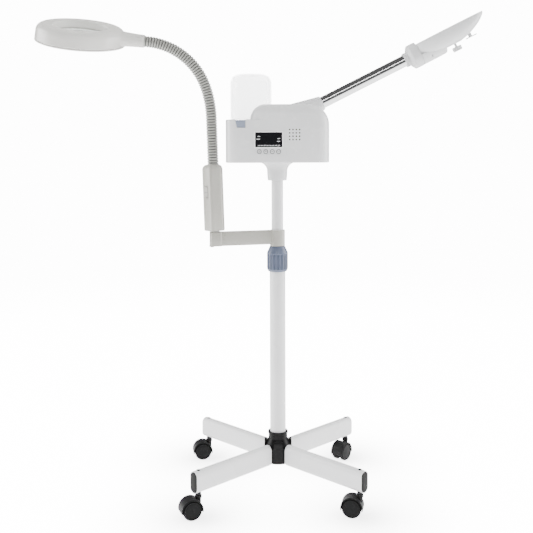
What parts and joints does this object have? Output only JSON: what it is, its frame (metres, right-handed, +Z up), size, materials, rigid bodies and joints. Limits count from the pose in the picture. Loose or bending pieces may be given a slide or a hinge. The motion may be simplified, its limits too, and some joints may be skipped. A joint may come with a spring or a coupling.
{
  "type": "facial steamer",
  "caption": "Facial steamer on a wheeled four-leg stand: steam head with water tank, chrome arm and hooded nozzle, plus a gooseneck ring magnifier lamp.",
  "frame": {"origin": "on the floor, under the axis of the column", "axes": "+Z up along the column, +X towards the steam nozzle, -Y towards the operator's side with the display"},
  "size_m": [1.0584, 0.4118, 1.1504],
  "materials": {
    "white_paint": "gloss powder coat",
    "black_plastic": "fine moulded texture",
    "steel": "zinc plated",
    "collet_nylon": "natural nylon",
    "blue_grey_plastic": "satin moulded",
    "lamp_plastic": "satin warm grey",
    "switch_plastic": "satin",
    "neck_metal": "satin grey spiral tube",
    "lens_glass": "polished",
    "light_tube": "opal",
    "white_plastic": "gloss moulded",
    "tank_plastic": "clear moulded",
    "display_black": "gloss window",
    "board_green": "solder mask",
    "boiler_metal": "cast",
    "chrome": "mirror chrome"
  },
  "bodies": {
    "stand": {"base_hub": "black_plastic", "leg_front_left": "white_paint", "leg_front_right": "white_paint", "leg_rear_right": "white_paint", "leg_rear_left": "white_paint", "leg_end_caps": "black_plastic", "stem_bushes": "black_plastic", "caster_stems": "steel", "hub_screws": "steel", "lower_tube": "white_paint", "collet": "collet_nylon"},
    "caster_front_left": {"caster_body_front_left": "black_plastic", "caster_axle_front_left": "steel"},
    "wheel_front_left_a": {"wheel_front_left_a": "black_plastic"},
    "wheel_front_left_b": {"wheel_front_left_b": "black_plastic"},
    "caster_front_right": {"caster_body_front_right": "black_plastic", "caster_axle_front_right": "steel"},
    "wheel_front_right_a": {"wheel_front_right_a": "black_plastic"},
    "wheel_front_right_b": {"wheel_front_right_b": "black_plastic"},
    "caster_rear_right": {"caster_body_rear_right": "black_plastic", "caster_axle_rear_right": "steel"},
    "wheel_rear_right_a": {"wheel_rear_right_a": "black_plastic"},
    "wheel_rear_right_b": {"wheel_rear_right_b": "black_plastic"},
    "caster_rear_left": {"caster_body_rear_left": "black_plastic", "caster_axle_rear_left": "steel"},
    "wheel_rear_left_a": {"wheel_rear_left_a": "black_plastic"},
    "wheel_rear_left_b": {"wheel_rear_left_b": "black_plastic"},
    "lock_collar": {"lock_collar": "blue_grey_plastic"},
    "column": {"upper_tube": "white_paint"},
    "steamer_head": {"front_shell": "white_plastic", "rear_shell": "white_plastic", "neck_socket": "white_plastic", "display_window": "display_black", "circuit_board": "board_green", "boiler": "boiler_metal", "heating_element": "steel", "steam_pipe": "steel", "steam_arm": "chrome"},
    "button_1": {"button_1": "white_plastic"},
    "button_2": {"button_2": "white_plastic"},
    "button_3": {"button_3": "white_plastic"},
    "button_4": {"button_4": "white_plastic"},
    "tank": {"water_tank": "tank_plastic", "tank_cap": "blue_grey_plastic"},
    "nozzle": {"swivel_nut": "white_plastic", "nozzle_body": "white_plastic", "nozzle_hood": "white_plastic"},
    "nozzle_knob": {"nozzle_knob": "white_plastic"},
    "lamp_bracket": {"lamp_bracket": "lamp_plastic", "bracket_pin": "steel"},
    "lamp_handle": {"handle_outer_half": "lamp_plastic", "handle_inner_half": "lamp_plastic"},
    "lamp_switch": {"lamp_switch": "switch_plastic"},
    "neck_lower": {"gooseneck_lower": "neck_metal"},
    "neck_middle": {"gooseneck_middle": "neck_metal"},
    "magnifier": {"gooseneck_upper": "neck_metal", "ring_top_shell": "lamp_plastic", "ring_bottom_shell": "lamp_plastic", "lens": "lens_glass", "light_ring": "light_tube"}
  },
  "joints": [
    {"name": "caster_swivel_front_left", "type": "hinge", "parent": "stand", "child": "caster_front_left", "pos_m": [-0.18102, -0.18102, 0.052], "axis": [0, 0, 1], "continuous": true},
    {"name": "wheel_spin_front_left_a", "type": "hinge", "parent": "caster_front_left", "child": "wheel_front_left_a", "pos_m": [-0.19736, -0.18729, 0.022], "axis": [0.3584, -0.9336, 0], "continuous": true},
    {"name": "wheel_spin_front_left_b", "type": "hinge", "parent": "caster_front_left", "child": "wheel_front_left_b", "pos_m": [-0.19736, -0.18729, 0.022], "axis": [0.3584, -0.9336, 0], "continuous": true},
    {"name": "caster_swivel_front_right", "type": "hinge", "parent": "stand", "child": "caster_front_right", "pos_m": [0.18102, -0.18102, 0.052], "axis": [0, 0, 1], "continuous": true},
    {"name": "wheel_spin_front_right_a", "type": "hinge", "parent": "caster_front_right", "child": "wheel_front_right_a", "pos_m": [0.16397, -0.17708, 0.022], "axis": [-0.225, -0.9744, 0], "continuous": true},
    {"name": "wheel_spin_front_right_b", "type": "hinge", "parent": "caster_front_right", "child": "wheel_front_right_b", "pos_m": [0.16397, -0.17708, 0.022], "axis": [-0.225, -0.9744, 0], "continuous": true},
    {"name": "caster_swivel_rear_right", "type": "hinge", "parent": "stand", "child": "caster_rear_right", "pos_m": [0.18102, 0.18102, 0.052], "axis": [0, 0, 1], "continuous": true},
    {"name": "wheel_spin_rear_right_a", "type": "hinge", "parent": "caster_rear_right", "child": "wheel_rear_right_a", "pos_m": [0.17025, 0.16723, 0.022], "axis": [0.788, -0.6157, 0], "continuous": true},
    {"name": "wheel_spin_rear_right_b", "type": "hinge", "parent": "caster_rear_right", "child": "wheel_rear_right_b", "pos_m": [0.17025, 0.16723, 0.022], "axis": [0.788, -0.6157, 0], "continuous": true},
    {"name": "caster_swivel_rear_left", "type": "hinge", "parent": "stand", "child": "caster_rear_left", "pos_m": [-0.18102, 0.18102, 0.052], "axis": [0, 0, 1], "continuous": true},
    {"name": "wheel_spin_rear_left_a", "type": "hinge", "parent": "caster_rear_left", "child": "wheel_rear_left_a", "pos_m": [-0.19825, 0.17798, 0.022], "axis": [0.1736, -0.9848, 0], "continuous": true},
    {"name": "wheel_spin_rear_left_b", "type": "hinge", "parent": "caster_rear_left", "child": "wheel_rear_left_b", "pos_m": [-0.19825, 0.17798, 0.022], "axis": [0.1736, -0.9848, 0], "continuous": true},
    {"name": "lock_collar_turn", "type": "hinge", "parent": "stand", "child": "lock_collar", "pos_m": [0, 0, 0.555], "axis": [0, 0, 1], "range_deg": [0, 150]},
    {"name": "column_slide", "type": "slide", "parent": "stand", "child": "column", "axis": [0, 0, 1], "range_m": [-0.115, 0.2]},
    {"name": "head_swivel", "type": "hinge", "parent": "column", "child": "steamer_head", "pos_m": [0, 0, 0.8], "axis": [0, 0, 1], "range_deg": [-120, 120]},
    {"name": "button_1_press", "type": "slide", "parent": "steamer_head", "child": "button_1", "axis": [0, 1, 0], "range_m": [0, 0.001], "stiffness_N_per_m": 600},
    {"name": "button_2_press", "type": "slide", "parent": "steamer_head", "child": "button_2", "axis": [0, 1, 0], "range_m": [0, 0.001], "stiffness_N_per_m": 600},
    {"name": "button_3_press", "type": "slide", "parent": "steamer_head", "child": "button_3", "axis": [0, 1, 0], "range_m": [0, 0.001], "stiffness_N_per_m": 600},
    {"name": "button_4_press", "type": "slide", "parent": "steamer_head", "child": "button_4", "axis": [0, 1, 0], "range_m": [0, 0.001], "stiffness_N_per_m": 600},
    {"name": "tank_lift", "type": "slide", "parent": "steamer_head", "child": "tank", "axis": [0, 0, 1], "range_m": [0, 0.06]},
    {"name": "nozzle_turn", "type": "hinge", "parent": "steamer_head", "child": "nozzle", "pos_m": [0.31636, 0, 1.03774], "axis": [0.8934, 0, 0.4493], "range_deg": [-110, 110]},
    {"name": "nozzle_knob_turn", "type": "hinge", "parent": "nozzle", "child": "nozzle_knob", "pos_m": [0.42741, 0, 1.07289], "axis": [-0.4493, 0, 0.8934], "range_deg": [0, 270]},
    {"name": "bracket_swing", "type": "hinge", "parent": "stand", "child": "lamp_bracket", "pos_m": [0, 0, 0.608], "axis": [0, 0, 1], "range_deg": [-120, 120]},
    {"name": "handle_turn", "type": "hinge", "parent": "lamp_bracket", "child": "lamp_handle", "pos_m": [-0.14715, -0.04081, 0.63], "axis": [-0.0314, 0, 0.9995], "range_deg": [-90, 90]},
    {"name": "lamp_switch_rock", "type": "hinge", "parent": "lamp_handle", "child": "lamp_switch", "pos_m": [-0.16429, -0.05007, 0.72151], "axis": [0.5444, -0.8387, 0.0171], "range_deg": [-8, 8]},
    {"name": "neck_bend_base", "type": "hinge", "parent": "lamp_handle", "child": "neck_lower", "pos_m": [-0.15198, -0.04081, 0.78392], "axis": [-1, 0, 0], "range_deg": [-20, 20]},
    {"name": "neck_bend_middle", "type": "hinge", "parent": "neck_lower", "child": "neck_middle", "pos_m": [-0.15553, -0.04081, 0.89687], "axis": [0, 1, 0], "range_deg": [-20, 20]},
    {"name": "neck_bend_upper", "type": "hinge", "parent": "neck_middle", "child": "magnifier", "pos_m": [-0.20817, -0.04081, 1.03123], "axis": [0, 1, 0], "range_deg": [-25, 25]}
  ]
}
